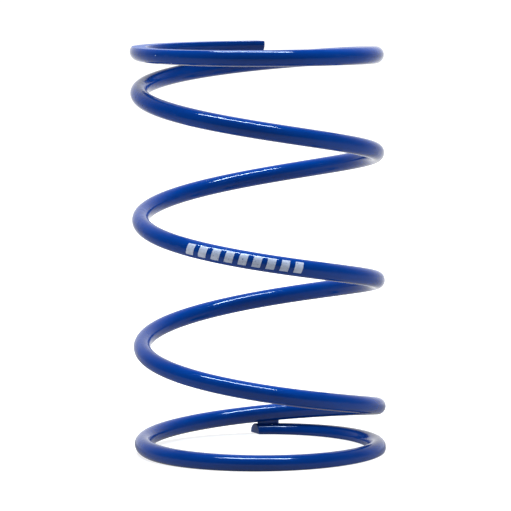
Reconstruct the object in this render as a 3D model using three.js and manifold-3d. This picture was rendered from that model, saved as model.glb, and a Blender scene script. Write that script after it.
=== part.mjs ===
// A helical compression spring in round wire, with closed and ground ends, wound left-handed.
//
// Millimetres, +Z up. The helix runs about the Z axis and the bottom seat is ground flat in the
// plane Z = 0. The two wire tips lie one above the other at the back, on the +Y side.
//
// The real spring is one length of wire that flexes all along. Rigid pieces stand for it here:
// a closed coil at each end and three open coils, each coil divided into twelve short sections
// by upright cuts through the axis. A section moves straight up and down, so no cut ever binds.

import * as THREE from "three";
import { mergeVertices } from "three/addons/utils/BufferGeometryUtils.js";
import Module from "manifold-3d";

// Driving dimensions
const WIRE_DIAMETER = 6;
const OUTER_DIAMETER = 87;
const FREE_LENGTH = 140.5;
const TIP_OVERLAP_DEG = 5.2; // how far the wire runs past five whole turns
// Each end: grind is taken off the wire at the tip, tapering to nothing round the seat, and
// closedPitch is the rise per turn while the end coil lies closed. openingMiddle and openingSpan,
// in turns from the tip, say where the pitch grows from closed to full.
const BOTTOM_END = { grind: 2.4, closedPitch: 3.2, openingMiddle: 0.995, openingSpan: 0.8 };
const TOP_END = { grind: 2, closedPitch: 2.75, openingMiddle: 0.992, openingSpan: 0.92 };
const TIP_CUT_DEG = 24; // the shear cut at a tip, measured from a square cut
const CUT_GAP = 0.3; // clearance between neighbouring pieces

// How the wire is divided
const END_COIL_TURNS = 1;
const ACTIVE_COILS = 3;
const SECTIONS_PER_COIL = 12;

// Facets
const WIRE_SIDES = 16;
const STEPS_PER_SECTION = 4;
const STEPS_PER_END_COIL = 48;

const PAINT = { color: 0x0b3a86, roughness: 0.2, metalness: 0 };

// Sizes that follow from the driving dimensions
const WIRE_RADIUS = WIRE_DIAMETER / 2;
const COIL_RADIUS = (OUTER_DIAMETER - WIRE_DIAMETER) / 2;
const FULL_TURN = 2 * Math.PI;
const TOTAL_TURNS = END_COIL_TURNS * 2 + ACTIVE_COILS + TIP_OVERLAP_DEG / 360;
const ACTIVE_TURNS = TOTAL_TURNS - 2 * END_COIL_TURNS;
const FULL_PITCH =
  (FREE_LENGTH - closedRise(BOTTOM_END) - closedRise(TOP_END)) /
  (TOTAL_TURNS - BOTTOM_END.openingMiddle - TOP_END.openingMiddle);
const TIP_SKEW = Math.tan(THREE.MathUtils.degToRad(TIP_CUT_DEG));
const HALF_GAP_TURNS = CUT_GAP / 2 / (FULL_TURN * COIL_RADIUS);

// Height of the wire's centre over the seat where the opening stretch has its middle, as if the
// wire lay closed up to there.
function closedRise({ grind, closedPitch, openingMiddle }) {
  return WIRE_RADIUS - grind + closedPitch * openingMiddle;
}

// Height of the wire's centre over the seat of one end, and the pitch there.
function fromSeat(turnsFromTip, { grind, closedPitch, openingMiddle, openingSpan }) {
  const past = turnsFromTip - (openingMiddle - openingSpan / 2);
  const t = THREE.MathUtils.clamp(past / openingSpan, 0, 1);
  const opened = openingSpan * (t ** 3 - t ** 4 / 2) + Math.max(0, past - openingSpan);
  return {
    height: WIRE_RADIUS - grind + closedPitch * turnsFromTip + (FULL_PITCH - closedPitch) * opened,
    pitch: THREE.MathUtils.lerp(closedPitch, FULL_PITCH, t * t * (3 - 2 * t)),
  };
}

function inLowerHalf(turn) {
  return turn < TOTAL_TURNS / 2;
}

function wireHeight(turn) {
  if (inLowerHalf(turn)) return fromSeat(turn, BOTTOM_END).height;
  return FREE_LENGTH - fromSeat(TOTAL_TURNS - turn, TOP_END).height;
}

// An upright cut through round wire that climbs is a slightly tall ellipse: its half height.
function cutHalfHeight(turn) {
  const { pitch } = inLowerHalf(turn)
    ? fromSeat(turn, BOTTOM_END)
    : fromSeat(TOTAL_TURNS - turn, TOP_END);
  return WIRE_RADIUS * Math.hypot(1, pitch / (FULL_TURN * COIL_RADIUS));
}

// Seen from above, the wire climbs clockwise from the back, which is a left-hand helix.
// The place of the middle of the tips' overlap is the middle of the back.
function wirePoint(turn, outward, upward) {
  const angle = FULL_TURN * turn - THREE.MathUtils.degToRad(TIP_OVERLAP_DEG / 2);
  const radius = COIL_RADIUS + outward;
  return new THREE.Vector3(
    radius * Math.sin(angle),
    radius * Math.cos(angle),
    wireHeight(turn) + upward,
  );
}

// One ring of points round the wire. A skewed ring leans about the upright, as a shear cut does:
// its outer side lies further back along the wire than its inner side.
function wireRing(turn, skew) {
  const halfHeight = cutHalfHeight(turn);
  return Array.from({ length: WIRE_SIDES }, (_, side) => {
    const angle = (FULL_TURN * side) / WIRE_SIDES;
    const outward = WIRE_RADIUS * Math.cos(angle);
    const shift = (-skew * outward) / (FULL_TURN * COIL_RADIUS);
    return wirePoint(turn + shift, outward, halfHeight * Math.sin(angle));
  });
}

// A closed length of wire between two turns, with its faces pointing out.
function wireGeometry({ from, to, steps, startSkew = 0, endSkew = 0 }) {
  const rings = Array.from({ length: steps + 1 }, (_, step) => {
    const skew = step === 0 ? startSkew : step === steps ? endSkew : 0;
    return wireRing(THREE.MathUtils.lerp(from, to, step / steps), skew);
  });
  const index = [];
  for (let step = 0; step < steps; step++) {
    for (let side = 0; side < WIRE_SIDES; side++) {
      const next = (side + 1) % WIRE_SIDES;
      const a = step * WIRE_SIDES + side;
      const b = step * WIRE_SIDES + next;
      index.push(a, b, a + WIRE_SIDES);
      index.push(b, b + WIRE_SIDES, a + WIRE_SIDES);
    }
  }
  const last = steps * WIRE_SIDES;
  for (let side = 1; side < WIRE_SIDES - 1; side++) {
    index.push(0, side + 1, side);
    index.push(last, last + side, last + side + 1);
  }
  return new THREE.BufferGeometry().setFromPoints(rings.flat()).setIndex(index);
}

const wasm = await Module();
wasm.setup();

function toSolid(geometry) {
  const bare = new THREE.BufferGeometry()
    .setAttribute("position", geometry.getAttribute("position"))
    .setIndex(geometry.index);
  const merged = mergeVertices(bare);
  return new wasm.Manifold(
    new wasm.Mesh({
      numProp: 3,
      vertProperties: merged.attributes.position.array,
      triVerts: new Uint32Array(merged.index.array),
    }),
  );
}

function toGeometry(solid) {
  const { vertProperties, triVerts } = solid.getMesh();
  return new THREE.BufferGeometry()
    .setAttribute("position", new THREE.BufferAttribute(vertProperties, 3))
    .setIndex(new THREE.BufferAttribute(triVerts, 1));
}

// Grinds a length of wire flat: everything under the seat plane, or over it, is taken away.
function ground(geometry, seatHeight, side) {
  const wheel = new THREE.BoxGeometry(
    OUTER_DIAMETER + WIRE_DIAMETER,
    OUTER_DIAMETER + WIRE_DIAMETER,
    WIRE_DIAMETER,
  );
  wheel.translate(0, 0, seatHeight + (side * WIRE_DIAMETER) / 2);
  return toGeometry(toSolid(geometry).subtract(toSolid(wheel)));
}

function pieceMesh(name, geometry) {
  const shaded = geometry.toNonIndexed();
  shaded.computeVertexNormals();
  const mesh = new THREE.Mesh(shaded, new THREE.MeshStandardMaterial(PAINT));
  mesh.name = name;
  return mesh;
}

function bottomEndCoil() {
  const wire = wireGeometry({
    from: 0,
    to: END_COIL_TURNS - HALF_GAP_TURNS,
    steps: STEPS_PER_END_COIL,
    startSkew: TIP_SKEW,
  });
  return pieceMesh("bottom_end_coil", ground(wire, 0, -1));
}

function topEndCoil() {
  const wire = wireGeometry({
    from: TOTAL_TURNS - END_COIL_TURNS + HALF_GAP_TURNS,
    to: TOTAL_TURNS,
    steps: STEPS_PER_END_COIL,
    endSkew: TIP_SKEW,
  });
  return pieceMesh("top_end_coil", ground(wire, FREE_LENGTH, 1));
}

// The open coils, from the bottom up. The sections share the active turns evenly.
function activeCoils() {
  const coils = new THREE.Group();
  const turnsPerSection = ACTIVE_TURNS / (ACTIVE_COILS * SECTIONS_PER_COIL);
  for (let coil = 0; coil < ACTIVE_COILS; coil++) {
    for (let section = 0; section < SECTIONS_PER_COIL; section++) {
      const start = END_COIL_TURNS + (coil * SECTIONS_PER_COIL + section) * turnsPerSection;
      const wire = wireGeometry({
        from: start + HALF_GAP_TURNS,
        to: start + turnsPerSection - HALF_GAP_TURNS,
        steps: STEPS_PER_SECTION,
      });
      const number = String(section + 1).padStart(2, "0");
      coils.add(pieceMesh(`coil_${coil + 1}_section_${number}`, wire));
    }
  }
  return coils;
}

const spring = new THREE.Group();
spring.add(bottomEndCoil(), activeCoils(), topEndCoil());

export default spring;
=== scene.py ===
"""A gloss blue coil compression spring, standing on a white table in a studio.

The CAD model divides the spring's one wire into rigid sections. Here the wire is drawn again as
five fine pieces that meet without a visible joint: a closed coil at each end, which rides with
its seat, and three open coils between them, which flex as the spring is pressed. A printed mark
and at each tip a fillet of painted shade, a sheet in the narrow wedge there, complete it.
Everything is in metres, in the CAD model's own frame.
"""

import math

import bpy
import numpy as np
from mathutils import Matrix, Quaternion, Vector


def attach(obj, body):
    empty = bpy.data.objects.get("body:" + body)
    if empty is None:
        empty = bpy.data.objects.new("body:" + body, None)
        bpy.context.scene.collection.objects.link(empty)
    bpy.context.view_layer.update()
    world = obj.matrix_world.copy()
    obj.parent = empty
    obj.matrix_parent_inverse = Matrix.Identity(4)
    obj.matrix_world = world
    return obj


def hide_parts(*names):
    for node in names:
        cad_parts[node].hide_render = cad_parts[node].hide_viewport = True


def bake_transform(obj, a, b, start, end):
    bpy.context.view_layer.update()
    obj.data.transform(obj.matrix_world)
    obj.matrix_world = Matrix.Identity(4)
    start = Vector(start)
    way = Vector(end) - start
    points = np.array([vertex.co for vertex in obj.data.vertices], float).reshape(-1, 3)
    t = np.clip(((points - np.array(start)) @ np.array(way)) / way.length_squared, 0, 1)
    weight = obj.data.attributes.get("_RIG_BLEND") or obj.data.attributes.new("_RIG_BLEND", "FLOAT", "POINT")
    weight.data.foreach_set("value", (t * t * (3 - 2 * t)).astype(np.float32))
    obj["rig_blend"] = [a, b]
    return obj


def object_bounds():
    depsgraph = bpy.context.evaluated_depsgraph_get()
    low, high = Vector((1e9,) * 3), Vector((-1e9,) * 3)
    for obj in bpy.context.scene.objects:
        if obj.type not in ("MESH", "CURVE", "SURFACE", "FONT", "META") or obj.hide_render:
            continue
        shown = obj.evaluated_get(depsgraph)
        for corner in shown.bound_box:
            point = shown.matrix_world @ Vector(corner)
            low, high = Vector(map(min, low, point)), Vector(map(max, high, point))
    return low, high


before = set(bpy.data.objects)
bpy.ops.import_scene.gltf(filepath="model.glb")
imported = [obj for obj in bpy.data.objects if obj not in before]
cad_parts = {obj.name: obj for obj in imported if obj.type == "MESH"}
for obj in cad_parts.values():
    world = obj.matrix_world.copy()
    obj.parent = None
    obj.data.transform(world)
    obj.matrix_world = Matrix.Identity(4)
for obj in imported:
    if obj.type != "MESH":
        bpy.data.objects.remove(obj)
cad_low, cad_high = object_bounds()

# Driving dimensions, as in the CAD model
WIRE_DIAMETER = 0.006
TIP_OVERLAP_DEG = 5.2  # how far the wire runs past five whole turns
# Each end: grind is taken off the wire at the tip, and closed_pitch is the rise per turn while
# the end coil lies closed. The opening, in turns from the tip, is where the pitch grows to full.
BOTTOM_END = {
    "grind": 0.0024,
    "closed_pitch": 0.0032,
    "opening_middle": 0.995,
    "opening_span": 0.8,
}
TOP_END = {
    "grind": 0.002,
    "closed_pitch": 0.00275,
    "opening_middle": 0.992,
    "opening_span": 0.92,
}
TIP_CUT_DEG = 24  # the shear cut at a tip, measured from a square cut
END_COIL_TURNS = 1
ACTIVE_COILS = 3
TRAVEL_EASE_TURNS = 0.40  # turns over which the wire takes up its share of the travel

# Finish of the wire
EDGE_ROUNDING = 0.00016  # how softly a ground face meets the round of the wire
TIP_ROUNDING = 0.0003  # the rubbed edge of a cut tip
TIP_ROUNDING_STEPS_DEG = (0, 30, 60, 90)
TIP_SETTLE = 0.007  # length over which the skewed cut gives way to square rings

# Painted shade: a fillet that fills the narrow wedge between each tip and the coil beside it
FILLET_START = 0.0009  # behind the tip, along the wire
FILLET_END = 0.0085
FILLET_HALF_WIDTH = 0.0011
FILLET_WAIST = 0.3  # how much narrower it is halfway between the two wires
FILLET_REACH = 0.7  # where it ends inside each wire, as a share of the wire's radius
FILLET_CELLS = (12, 6)  # along the wire, and from wire to wire

# The printed mark: a row of equal slanted bars on the front of the middle coil
MARK_START = 2.449  # turns
MARK_END = 2.604
MARK_LOW_DEG = 57  # how far round from the underside of the wire
MARK_HIGH_DEG = 133
MARK_BARS = 9
MARK_FILL = 0.60  # width of a bar as a share of their spacing
MARK_SLANT = 0.0011  # how far the top of a bar leans along the wire
INK_DEPTH = 0.00003  # how far the ink stands proud, and how far it reaches in
BAR_CELLS = (4, 12)  # along the wire, and round it

# Fineness of the mesh
STEP_TURNS = 1 / 240
TIP_FINENESS = 2  # how many times finer the steps are where the skewed cut settles
SEAM_STEP_TURNS = 1 / 20000
SIDE_STEPS = 20  # between the crowded stretches of a ring, on each side
EDGE_LEVELS = (-1, -0.5, 0, 0.5, 1)  # a ring's points across a rounded edge, in roundings
EDGE_LEAST_STEP_DEG = 3.0  # how close those points may lie where the wire isn't ground
FACE_POINT = 0.85  # where a ring's one more point on a ground face lies, from middle to edge

# Sizes that follow from them
WIRE_RADIUS = WIRE_DIAMETER / 2
COIL_RADIUS = (cad_high.x - cad_low.x - WIRE_DIAMETER) / 2
FREE_LENGTH = cad_high.z - cad_low.z
TURN_LENGTH = 2 * math.pi * COIL_RADIUS
TOTAL_TURNS = 2 * END_COIL_TURNS + ACTIVE_COILS + TIP_OVERLAP_DEG / 360
ACTIVE_TURNS = TOTAL_TURNS - 2 * END_COIL_TURNS
TIP_SKEW = math.tan(math.radians(TIP_CUT_DEG))


# The wire's shape


def smooth(t):
    """A smooth step from 0 to 1."""
    return t * t * (3 - 2 * t)


def smooth_ramp(past, span):
    """Height of a ramp that starts level and has a slope of 1 after the span."""
    t = np.clip(past / span, 0, 1)
    return span * (t**3 - t**4 / 2) + np.maximum(0, past - span)


def closed_rise(end):
    """Height over the seat at the opening's middle, as if the wire lay closed up to there."""
    return WIRE_RADIUS - end["grind"] + end["closed_pitch"] * end["opening_middle"]


FULL_PITCH = (FREE_LENGTH - closed_rise(BOTTOM_END) - closed_rise(TOP_END)) / (
    TOTAL_TURNS - BOTTOM_END["opening_middle"] - TOP_END["opening_middle"]
)


def from_seat(turns, end):
    """Height of the wire's centre over the seat of one end, and the pitch there."""
    span, closed = end["opening_span"], end["closed_pitch"]
    past = turns - (end["opening_middle"] - span / 2)
    opened = smooth_ramp(past, span)
    rise = WIRE_RADIUS - end["grind"] + closed * turns + (FULL_PITCH - closed) * opened
    return rise, closed + (FULL_PITCH - closed) * smooth(np.clip(past / span, 0, 1))


def height(turns):
    """Height of the wire's centre."""
    from_bottom = from_seat(turns, BOTTOM_END)[0]
    from_top = from_seat(TOTAL_TURNS - turns, TOP_END)[0]
    return np.where(turns < TOTAL_TURNS / 2, from_bottom, FREE_LENGTH - from_top)


def half_height(turns):
    """Half the height of an upright cut through the wire, which is a slightly tall ellipse."""
    from_bottom = from_seat(turns, BOTTOM_END)[1]
    from_top = from_seat(TOTAL_TURNS - turns, TOP_END)[1]
    pitch = np.where(turns < TOTAL_TURNS / 2, from_bottom, from_top)
    return WIRE_RADIUS * np.hypot(1, pitch / TURN_LENGTH)


def share(turns):
    """How much of the top end's travel the wire makes at a place, from 0 to 1."""
    near = np.minimum(turns, TOTAL_TURNS - turns) - END_COIL_TURNS
    part = smooth_ramp(near, TRAVEL_EASE_TURNS) / (ACTIVE_TURNS - TRAVEL_EASE_TURNS)
    return np.where(turns > TOTAL_TURNS / 2, 1 - part, part)


def ground(rise):
    """Height over a grinding plane after grinding: never under it, and rounded at its edge."""
    rounded = (rise + EDGE_ROUNDING) ** 2 / (4 * EDGE_ROUNDING)
    return np.where(rise > EDGE_ROUNDING, rise, np.where(rise < -EDGE_ROUNDING, 0, rounded))


def crowded_angles(centre_rise, wire_half_height):
    """Angles from the side of the wire that faces a grinding plane, crowded at the face's edge."""
    levels = EDGE_ROUNDING * np.array(EDGE_LEVELS)
    least = np.radians(EDGE_LEAST_STEP_DEG * np.arange(1, 1 + len(levels)))
    edge = np.arccos(np.clip((centre_rise - levels) / wire_half_height, -1, 1))
    edge = np.maximum(edge, least)
    return np.concatenate([[0.0, FACE_POINT * edge[0]], edge])


def ring_angles(turn):
    """Angles round the wire from its underside, up its outer side and down its inner side."""
    centre, tall = float(height(turn)), float(half_height(turn))
    lower = crowded_angles(centre, tall)
    upper = math.pi - crowded_angles(FREE_LENGTH - centre, tall)[::-1]
    between = np.linspace(lower[-1], upper[0], SIDE_STEPS + 1)[1:-1]
    outer = np.concatenate([lower, between, upper])
    return np.concatenate([outer, -outer[-2:0:-1]])


def placed(turns, outward, rise):
    """Points at a distance outward of the wire's centre and at a height, in the CAD's frame."""
    around = 2 * math.pi * turns - math.radians(TIP_OVERLAP_DEG / 2)
    radius = COIL_RADIUS + outward
    return np.stack([radius * np.sin(around), radius * np.cos(around), rise], axis=-1)


def pulled_straight(turns, outward, rise):
    """The same points on the wire pulled straight, where the textures of the paint lie."""
    return np.stack([turns * TURN_LENGTH, outward, rise - height(turns)], axis=-1)


def ring(turn, skew=0.0, shrink=0.0, ahead=0.0):
    """One ring of points round the wire, and each point's place on the wire pulled straight."""
    angles = ring_angles(turn)
    scale = 1 - shrink / WIRE_RADIUS
    outward = WIRE_RADIUS * np.sin(angles) * scale
    upward = -half_height(turn) * np.cos(angles) * scale
    along = turn + (ahead - skew * outward) / TURN_LENGTH
    rise = shrink + ground(height(along) + upward - shrink)
    rise = FREE_LENGTH - shrink - ground(FREE_LENGTH - shrink - rise)
    return placed(along, outward, rise), pulled_straight(along, outward, rise), along


def tip_rings(turn, side):
    """The rings of a sheared tip, from its face back to where the rings are square again."""
    rings = []
    for degrees in TIP_ROUNDING_STEPS_DEG:
        angle = math.radians(degrees)
        shrink = TIP_ROUNDING * (1 - math.sin(angle))
        back = TIP_ROUNDING * (1 - math.cos(angle))
        rings.append(ring(turn, TIP_SKEW, shrink, ahead=side * back))
    steps = round(TIP_SETTLE / TURN_LENGTH / STEP_TURNS) * TIP_FINENESS
    for step in range(1, steps + 1):
        done = step / steps
        skew = TIP_SKEW * (1 - smooth(done))
        rings.append(ring(turn + side * TIP_SETTLE * done / TURN_LENGTH, skew))
    return rings


def plain_rings(start, end):
    """Square rings between two turns. The two at each end lie close, to fix the slope there."""
    count = round((end - start) / STEP_TURNS)
    turns = [start, start + SEAM_STEP_TURNS, *np.linspace(start, end, count + 1)[1:-1]]
    turns += [end - SEAM_STEP_TURNS, end]
    return [ring(turn) for turn in turns]


# Meshes


def new_object(name, vertices, faces):
    mesh = bpy.data.meshes.new(name)
    mesh.from_pydata([tuple(v) for v in vertices], [], faces)
    mesh.update()
    piece = bpy.data.objects.new(name, mesh)
    bpy.context.scene.collection.objects.link(piece)
    return piece


def add_attribute(mesh, name, kind, values):
    attribute = mesh.attributes.get(name) or mesh.attributes.new(name, kind, "POINT")
    field = "vector" if kind == "FLOAT_VECTOR" else "value"
    attribute.data.foreach_set(field, np.asarray(values, np.float32).ravel())


def loft(name, rings):
    """A closed length of wire through the rings, with a flat face at each end."""
    points = np.concatenate([r[0] for r in rings])
    straight = np.concatenate([r[1] for r in rings])
    turns = np.concatenate([r[2] for r in rings])
    sides = len(rings[0][0])
    faces = [tuple(range(sides))]
    for row in range(len(rings) - 1):
        a, b = row * sides, (row + 1) * sides
        for side in range(sides):
            after = (side + 1) % sides
            faces.append((a + side, b + side, b + after, a + after))
    last = (len(rings) - 1) * sides
    faces.append(tuple(last + side for side in reversed(range(sides))))
    piece = new_object(name, points, faces)
    on_side = [0 < index < len(faces) - 1 for index in range(len(faces))]
    piece.data.polygons.foreach_set("use_smooth", on_side)
    add_attribute(piece.data, "straight", "FLOAT_VECTOR", straight)
    return piece, turns


def flex(piece, turns):
    """The piece bends with the compression. Each point makes the share of the top end's travel
    that belongs to its place along the wire, in place of the smooth spread from bake_transform()."""
    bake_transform(piece, "bottom_end", "top_end", start=(0, 0, 0), end=(0, 0, FREE_LENGTH))
    add_attribute(piece.data, "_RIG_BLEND", "FLOAT", share(turns))


# The pieces


def make_end_coils(paint):
    settled = TIP_SETTLE / TURN_LENGTH
    bottom_rings = tip_rings(0, 1) + plain_rings(settled, END_COIL_TURNS)[2:]
    bottom, _ = loft("bottom_end_wire", bottom_rings)
    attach(bottom, "bottom_end")
    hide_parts("bottom_end_coil")

    top_tip = tip_rings(TOTAL_TURNS, -1)[::-1]
    top_rings = plain_rings(TOTAL_TURNS - END_COIL_TURNS, TOTAL_TURNS - settled)[:-2] + top_tip
    top, _ = loft("top_end_wire", top_rings)
    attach(top, "top_end")
    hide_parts("top_end_coil")
    for piece in (bottom, top):
        piece.data.materials.append(paint)


def make_active_coils(paint):
    turns_per_coil = ACTIVE_TURNS / ACTIVE_COILS
    for coil in range(ACTIVE_COILS):
        start = END_COIL_TURNS + coil * turns_per_coil
        piece, turns = loft(f"active_coil_{coil + 1}", plain_rings(start, start + turns_per_coil))
        flex(piece, turns)
        sections = [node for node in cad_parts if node.startswith(f"coil_{coil + 1}_section_")]
        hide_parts(*sorted(sections))
        piece.data.materials.append(paint)


def fillet_rings(tip, side):
    """Cross-sections of the fillet at a tip. The side is 1 at the bottom tip and -1 at the top."""
    cells_along, cells_up = FILLET_CELLS
    level = np.linspace(0, 1, cells_up + 1)
    half_width = FILLET_HALF_WIDTH * (1 - FILLET_WAIST * np.sin(math.pi * level))
    outward = np.concatenate([half_width, -half_width[::-1]])
    rings = []
    for along in np.linspace(FILLET_START, FILLET_END, cells_along + 1):
        turn = tip + side * along / TURN_LENGTH
        low, high = sorted([float(height(turn)), float(height(turn + side))])
        low += FILLET_REACH * WIRE_RADIUS
        high -= FILLET_REACH * WIRE_RADIUS
        rise = low + (high - low) * np.concatenate([level, level[::-1]])
        turns = np.full(len(outward), turn)
        straight = pulled_straight(turns, np.full(len(outward), WIRE_RADIUS), rise)
        rings.append((placed(turns, outward, rise), straight, turns))
    return rings[::side]


def make_fillets(paint):
    """Painted shade: an enamelled sheet fills the wedge where a tip lies against the coil beside it."""
    for name, body, tip, side in (
        ("bottom_wedge_shade_fillet", "bottom_end", 0, 1),
        ("top_wedge_shade_fillet", "top_end", TOTAL_TURNS, -1),
    ):
        fillet, _ = loft(name, fillet_rings(tip, side))
        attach(fillet, body)
        fillet.data.materials.append(paint)


def mark_bar(start, end):
    """One bar of ink: a thin closed shell that hugs the wire. Its two sides lie on a grid, first
    the outer one and then the inner one."""
    cells_along, cells_round = BAR_CELLS
    low, high = math.radians(MARK_LOW_DEG), math.radians(MARK_HIGH_DEG)
    step, level = np.meshgrid(
        np.linspace(0, 1, cells_along + 1), np.linspace(0, 1, cells_round + 1), indexing="ij"
    )
    turns = start + (end - start) * step - MARK_SLANT / TURN_LENGTH * (level - 0.5)
    angle = low + (high - low) * level
    layers = []
    for lift in (INK_DEPTH, -INK_DEPTH):
        outward = (WIRE_RADIUS + lift) * np.sin(angle)
        rise = height(turns) - (half_height(turns) + lift) * np.cos(angle)
        layers.append((turns, outward, rise))
    count = (cells_along + 1) * (cells_round + 1)

    def corner(i, j, layer=0):
        return layer * count + i * (cells_round + 1) + j

    faces = []
    for i in range(cells_along):
        for j in range(cells_round):
            cell = [(i, j), (i + 1, j), (i + 1, j + 1), (i, j + 1)]
            faces.append([corner(*c) for c in cell])
            faces.append([corner(*c, 1) for c in reversed(cell)])
    border = [(i, 0) for i in range(cells_along)]
    border += [(cells_along, j) for j in range(cells_round)]
    border += [(i, cells_round) for i in range(cells_along, 0, -1)]
    border += [(0, j) for j in range(cells_round, 0, -1)]
    for here, after in zip(border, border[1:] + border[:1]):
        faces.append([corner(*after), corner(*here), corner(*here, 1), corner(*after, 1)])
    return layers, faces


def make_mark(ink):
    """A generic mark on the front of the middle coil: equal slanted bars, and no lettering."""
    points, straight, turns, faces = [], [], [], []
    spacing = (MARK_END - MARK_START) / MARK_BARS
    reach = spacing * MARK_FILL / 2
    for bar in range(MARK_BARS):
        middle = MARK_START + (bar + 0.5) * spacing
        layers, bar_faces = mark_bar(middle - reach, middle + reach)
        offset = sum(len(p) for p in points)
        faces += [[offset + corner for corner in face] for face in bar_faces]
        for layer in layers:
            points.append(placed(*layer).reshape(-1, 3))
            straight.append(pulled_straight(*layer).reshape(-1, 3))
            turns.append(layer[0].ravel())
    mark = new_object("printed_mark", np.concatenate(points), faces)
    add_attribute(mark.data, "straight", "FLOAT_VECTOR", np.concatenate(straight))
    flex(mark, np.concatenate(turns))
    mark.data.materials.append(ink)


# Materials


class Nodes:
    """A short way to build a node tree."""

    def __init__(self, tree):
        self.tree = tree
        tree.nodes.clear()

    def add(self, kind, **settings):
        node = self.tree.nodes.new(kind)
        for key, value in settings.items():
            setattr(node, key, value)
        return node

    def link(self, output, target):
        self.tree.links.new(output, target)

    def value(self, operation, *inputs):
        """The result of a math operation on numbers and other nodes' outputs."""
        node = self.add("ShaderNodeMath", operation=operation)
        for socket, given in zip(node.inputs, inputs):
            if isinstance(given, (int, float)):
                socket.default_value = given
            else:
                self.link(given, socket)
        return node.outputs[0]

    def noise(self, vector, scale, detail, roughness=0.5):
        node = self.add("ShaderNodeTexNoise")
        node.inputs["Scale"].default_value = scale
        node.inputs["Detail"].default_value = detail
        node.inputs["Roughness"].default_value = roughness
        self.link(vector, node.inputs["Vector"])
        return node.outputs["Fac"]

    def distance(self, place):
        """How far a place is from the origin."""
        node = self.add("ShaderNodeVectorMath", operation="LENGTH")
        self.link(place, node.inputs[0])
        return node.outputs["Value"]

    def between(self, value, low, high, to_low=0.0, to_high=1.0):
        """A smooth step, from to_low where the value is low to to_high where it is high."""
        node = self.add("ShaderNodeMapRange", interpolation_type="SMOOTHSTEP")
        self.link(value, node.inputs["Value"])
        for name, given in (
            ("From Min", low),
            ("From Max", high),
            ("To Min", to_low),
            ("To Max", to_high),
        ):
            node.inputs[name].default_value = given
        return node.outputs["Result"]

    def mix_colour(self, factor, first, second):
        node = self.add("ShaderNodeMix", data_type="RGBA")
        self.link(factor, node.inputs["Factor"])
        for socket, given in ((node.inputs["A"], first), (node.inputs["B"], second)):
            if isinstance(given, tuple):
                socket.default_value = (*given, 1.0)
            else:
                self.link(given, socket)
        return node.outputs["Result"]


def new_material(name):
    material = bpy.data.materials.new(name)
    material.use_nodes = True
    return material, Nodes(material.node_tree)


# Enamel. The scale of a noise is in waves per metre.
PAINT_DEEP = (0.0003, 0.027, 0.175)
PAINT_LIGHT = (0.0003, 0.037, 0.215)
PAINT_DRIFT_SCALE = 70
PAINT_IOR = 1.5
GLOSS_SCALE = 240
GLOSS_STRETCH = (0.3, 0.7, 0.05, 0.11)  # noise from and to, roughness from and to
PEEL_SCALE = 1 / 0.0019
PEEL_DEPTH = 0.00006
FINE_DETAIL = 3
PEEL_DETAIL = 2

# The paint on a ground seat
SEAT_PAINT = (0.004, 0.045, 0.215)
SEAT_DULLING = 0.25
SEAT_EDGE = (0.965, 0.985)  # where it gives way to the round of the wire, in wire radii

# Near-black dented spots and dust in the paint. A bump is given as a share of the peel depth.
DARK_SPOT_COLOUR = (0.002, 0.006, 0.02)
DARK_SPOT_SPACING = 0.030
DARK_SPOT_RADIUS = 0.0005
DARK_SPOT_CHANCE = 0.35
DARK_SPOT_BUMP = -1.5
DUST_COLOUR = (0.45, 0.55, 0.75)
DUST_SPACING = 0.006
DUST_RADIUS = 0.00022
DUST_CHANCE = 0.30
DUST_BUMP = 0.6
DUST_DULLING = 0.5

# Ink
INK_DARK = (0.30, 0.33, 0.42)
INK_LIGHT = (0.55, 0.58, 0.68)
INK_ROUGHNESS = 0.32
INK_GRAIN_SCALE = 900
WEAR_SCALE = 1400
WEAR_DETAIL = 4
WEAR_NOISE_ROUGHNESS = 0.7
WEAR_STRETCH = (0.60, 0.68)  # the noise where the ink begins to be worn, and where it is gone


def straight_place(nodes):
    """Where a point lies on the wire pulled straight, so that textures keep to the wire."""
    return nodes.add("ShaderNodeAttribute", attribute_name="straight").outputs["Vector"]


def spots(nodes, place, spacing, radius, chance):
    """1 inside a few round spots scattered over the surface, and 0 elsewhere."""
    cells = nodes.add("ShaderNodeTexVoronoi")
    cells.inputs["Scale"].default_value = 1 / spacing
    nodes.link(place, cells.inputs["Vector"])
    inside = nodes.between(cells.outputs["Distance"], 0.5 * radius / spacing, radius / spacing, 1, 0)
    pick = nodes.add("ShaderNodeSeparateColor")
    nodes.link(cells.outputs["Color"], pick.inputs[0])
    chosen = nodes.value("LESS_THAN", pick.outputs["Red"], chance)
    return nodes.value("MULTIPLY", inside, chosen)


def ground_face(nodes):
    """1 on a ground seat and 0 on the round of the wire."""
    split = nodes.add("ShaderNodeSeparateXYZ")
    nodes.link(straight_place(nodes), split.inputs[0])
    across = nodes.value("POWER", split.outputs["Y"], 2.0)
    up = nodes.value("POWER", split.outputs["Z"], 2.0)
    from_centre = nodes.value("SQRT", nodes.value("ADD", across, up))
    inner, outer = (WIRE_RADIUS * edge for edge in SEAT_EDGE)
    return nodes.between(from_centre, inner, outer, 1, 0)


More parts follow.
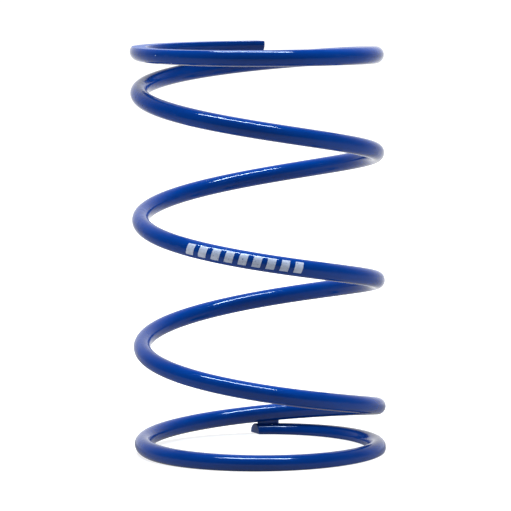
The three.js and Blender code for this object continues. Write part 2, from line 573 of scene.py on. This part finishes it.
def make_paint():
    """Gloss enamel over drawn wire: orange peel, a slow drift in colour, dust and near-black dents.
    The paint on the ground seats is lighter and duller."""
    material, nodes = new_material("gloss_blue_enamel")
    place = straight_place(nodes)
    shader = nodes.add("ShaderNodeBsdfPrincipled")
    shader.inputs["IOR"].default_value = PAINT_IOR

    drift = nodes.noise(place, PAINT_DRIFT_SCALE, FINE_DETAIL)
    colour = nodes.mix_colour(drift, PAINT_DEEP, PAINT_LIGHT)
    seat = ground_face(nodes)
    colour = nodes.mix_colour(seat, colour, SEAT_PAINT)
    dark_spots = spots(nodes, place, DARK_SPOT_SPACING, DARK_SPOT_RADIUS, DARK_SPOT_CHANCE)
    colour = nodes.mix_colour(dark_spots, colour, DARK_SPOT_COLOUR)
    dust = spots(nodes, place, DUST_SPACING, DUST_RADIUS, DUST_CHANCE)
    colour = nodes.mix_colour(dust, colour, DUST_COLOUR)
    nodes.link(colour, shader.inputs["Base Color"])

    dull = nodes.between(nodes.noise(place, GLOSS_SCALE, FINE_DETAIL), *GLOSS_STRETCH)
    dull = nodes.value("MULTIPLY_ADD", seat, SEAT_DULLING, dull)
    dull = nodes.value("MULTIPLY_ADD", dust, DUST_DULLING, dull)
    nodes.link(dull, shader.inputs["Roughness"])

    peel = nodes.noise(place, PEEL_SCALE, PEEL_DETAIL)
    peel = nodes.value("MULTIPLY_ADD", dark_spots, DARK_SPOT_BUMP, peel)
    peel = nodes.value("MULTIPLY_ADD", dust, DUST_BUMP, peel)
    bump = nodes.add("ShaderNodeBump")
    bump.inputs["Distance"].default_value = PEEL_DEPTH
    nodes.link(peel, bump.inputs["Height"])
    nodes.link(bump.outputs["Normal"], shader.inputs["Normal"])

    out = nodes.add("ShaderNodeOutputMaterial")
    nodes.link(shader.outputs["BSDF"], out.inputs["Surface"])
    return material


def make_ink():
    """Pale printed ink, a little worn, so that the blue shows through in places."""
    material, nodes = new_material("pale_printed_ink")
    place = straight_place(nodes)
    shader = nodes.add("ShaderNodeBsdfPrincipled")
    shader.inputs["Roughness"].default_value = INK_ROUGHNESS
    tone = nodes.mix_colour(nodes.noise(place, INK_GRAIN_SCALE, FINE_DETAIL), INK_DARK, INK_LIGHT)
    wear = nodes.noise(place, WEAR_SCALE, WEAR_DETAIL, WEAR_NOISE_ROUGHNESS)
    worn = nodes.between(wear, *WEAR_STRETCH)
    nodes.link(nodes.mix_colour(worn, tone, PAINT_DEEP), shader.inputs["Base Color"])
    out = nodes.add("ShaderNodeOutputMaterial")
    nodes.link(shader.outputs["BSDF"], out.inputs["Surface"])
    return material


# The studio

CAMERA_AIM = Vector((-0.00108, 0.0, FREE_LENGTH / 2 - 0.00205))
CAMERA_DISTANCE = 1.165
CAMERA_ELEVATION_DEG = 5.885
CAMERA_ROLL_DEG = -0.529
LENS_MM = 238.24
SENSOR_MM = 36.0
CAMERA_NEAREST = 0.05
CAMERA_FARTHEST = 200

TABLE_SIZE = 60.0
TABLE_ALBEDO = 0.30
TABLE_GLOW = (0.08, 0.5, 0.80, 1.1)  # distance from and to, glow for the camera from and to
# The table as the paint mirrors it: metres from and to, and brightness from and to
MIRRORED_FRONT = (-0.7, -0.1, 0.02, 0.40)
MIRRORED_BEHIND = (-0.05, 0.30, 0.0, 0.75)
MIRRORED_ASIDE = (0.2, 0.8, 1.0, 0.5)
MIRRORED_MIDDLE = 0.02  # keeps the share of straight back finite at the spring's own foot

STUDIO_DARK = 0.04  # brightness of the unlit side of the studio, in front
BACKDROP = 0.95  # and how much brighter it is right behind the spring
BACKDROP_SPILL = 0.4  # how much of that falls on the spring as plain light

STRIP_COLOUR = (0.64, 0.81, 1.0)
WHITE = (1, 1, 1)
# Each light: its name, place, width and depth, power in watts and colour, and whether the paint
# mirrors it. One that isn't mirrored leaves no highlight.
LIGHTS = (
    ("strip_light", (-0.04, -0.24, 1.5), (1.15, 0.12), 25, STRIP_COLOUR, True),
    ("overhead_fill", (0, 0.45, 1.4), (0.8, 0.5), 36, WHITE, False),
    ("front_fill", (0, -1.5, 0.12), (0.8, 0.2), 2.5, WHITE, False),
    ("left_fill", (-1.3, -0.1, 0.3), (0.6, 0.6), 12, WHITE, False),
    ("right_fill", (1.3, -0.1, 0.3), (0.6, 0.6), 13, WHITE, False),
)


def make_camera():
    data = bpy.data.cameras.new("camera")
    data.sensor_width = SENSOR_MM
    data.lens = LENS_MM
    data.clip_start = CAMERA_NEAREST
    data.clip_end = CAMERA_FARTHEST
    camera = bpy.data.objects.new("camera", data)
    elevation = math.radians(CAMERA_ELEVATION_DEG)
    back = Vector((0, -math.cos(elevation), math.sin(elevation)))
    roll = Quaternion((0, 0, 1), math.radians(CAMERA_ROLL_DEG))
    camera.rotation_mode = "QUATERNION"
    camera.location = CAMERA_AIM + back * CAMERA_DISTANCE
    camera.rotation_quaternion = (-back).to_track_quat("-Z", "Y") @ roll
    bpy.context.scene.collection.objects.link(camera)
    bpy.context.scene.camera = camera


def table_mirrored(nodes, place):
    """The table's brightness as the paint mirrors it: it fades out in front, and at the back it
    sweeps up into the lit backdrop, which is brightest in the middle."""
    split = nodes.add("ShaderNodeSeparateXYZ")
    nodes.link(place, split.inputs[0])
    across, behind = split.outputs["X"], split.outputs["Y"]
    near = nodes.between(behind, *MIRRORED_FRONT)
    backdrop = nodes.between(behind, *MIRRORED_BEHIND)
    away = nodes.value("ADD", nodes.distance(place), MIRRORED_MIDDLE)
    straight_back = nodes.value("MAXIMUM", nodes.value("DIVIDE", behind, away), 0.0)
    straight_back = nodes.value("POWER", straight_back, 2.0)
    aside = nodes.between(nodes.value("ABSOLUTE", across), *MIRRORED_ASIDE)
    near = nodes.value("MULTIPLY", near, aside)
    return nodes.value("MULTIPLY_ADD", backdrop, straight_back, near)


def make_table():
    """A white table top. It glows for the camera alone, so that it stays white far away."""
    half = TABLE_SIZE / 2
    corners = [(-half, -half, 0), (half, -half, 0), (half, half, 0), (-half, half, 0)]
    table = new_object("table_top", corners, [(0, 1, 2, 3)])
    table.location.z = cad_low.z
    material, nodes = new_material("white_table")
    place = nodes.add("ShaderNodeNewGeometry").outputs["Position"]
    ray = nodes.add("ShaderNodeLightPath")
    glow = nodes.between(nodes.distance(place), *TABLE_GLOW)
    white = nodes.add("ShaderNodeBsdfPrincipled")
    white.inputs["Base Color"].default_value = (TABLE_ALBEDO, TABLE_ALBEDO, TABLE_ALBEDO, 1)
    white.inputs["Roughness"].default_value = 1.0
    white.inputs["Specular IOR Level"].default_value = 0.0
    white.inputs["Emission Color"].default_value = (*WHITE, 1)
    glow = nodes.value("MULTIPLY", ray.outputs["Is Camera Ray"], glow)
    nodes.link(glow, white.inputs["Emission Strength"])
    mirrored = nodes.add("ShaderNodeEmission")
    nodes.link(table_mirrored(nodes, place), mirrored.inputs["Strength"])
    either = nodes.add("ShaderNodeMixShader")
    nodes.link(ray.outputs["Is Glossy Ray"], either.inputs[0])
    nodes.link(white.outputs["BSDF"], either.inputs[1])
    nodes.link(mirrored.outputs["Emission"], either.inputs[2])
    out = nodes.add("ShaderNodeOutputMaterial")
    nodes.link(either.outputs["Shader"], out.inputs["Surface"])
    table.data.materials.append(material)


def make_world():
    """A studio that is dark in front and bright behind, and white all over for the camera."""
    world = bpy.data.worlds.new("studio")
    world.use_nodes = True
    bpy.context.scene.world = world
    nodes = Nodes(world.node_tree)
    direction = nodes.add("ShaderNodeTexCoord").outputs["Generated"]
    split = nodes.add("ShaderNodeSeparateXYZ")
    nodes.link(direction, split.inputs[0])
    straight_back = nodes.value("POWER", nodes.value("MAXIMUM", split.outputs["Y"], 0.0), 2.0)
    level = nodes.value("MULTIPLY_ADD", straight_back, BACKDROP, STUDIO_DARK)
    ray = nodes.add("ShaderNodeLightPath")
    spill = nodes.between(ray.outputs["Is Glossy Ray"], 0, 1, BACKDROP_SPILL, 1)
    level = nodes.value("MULTIPLY", level, spill)
    level = nodes.value("MAXIMUM", level, ray.outputs["Is Camera Ray"])
    background = nodes.add("ShaderNodeBackground")
    background.inputs["Color"].default_value = (*WHITE, 1)
    nodes.link(level, background.inputs["Strength"])
    out = nodes.add("ShaderNodeOutputWorld")
    nodes.link(background.outputs["Background"], out.inputs["Surface"])


def area_light(name, place, size, power, colour, mirrored):
    """A soft light aimed at the spring."""
    data = bpy.data.lights.new(name, "AREA")
    data.shape = "RECTANGLE"
    data.size, data.size_y = size
    data.energy = power
    data.color = colour
    lamp = bpy.data.objects.new(name, data)
    aim = Vector((0, 0, FREE_LENGTH / 2))
    lamp.location = place
    lamp.rotation_mode = "QUATERNION"
    lamp.rotation_quaternion = (aim - Vector(place)).to_track_quat("-Z", "Y")
    lamp.visible_camera = False
    lamp.visible_glossy = mirrored
    bpy.context.scene.collection.objects.link(lamp)


def make_lights():
    for light in LIGHTS:
        area_light(*light)


def set_colour_handling():
    bpy.context.scene.view_settings.view_transform = "Standard"
    bpy.context.scene.view_settings.look = "None"


make_camera()
make_table()
make_world()
make_lights()
set_colour_handling()
paint = make_paint()
make_end_coils(paint)
make_active_coils(paint)
make_fillets(paint)
make_mark(make_ink())
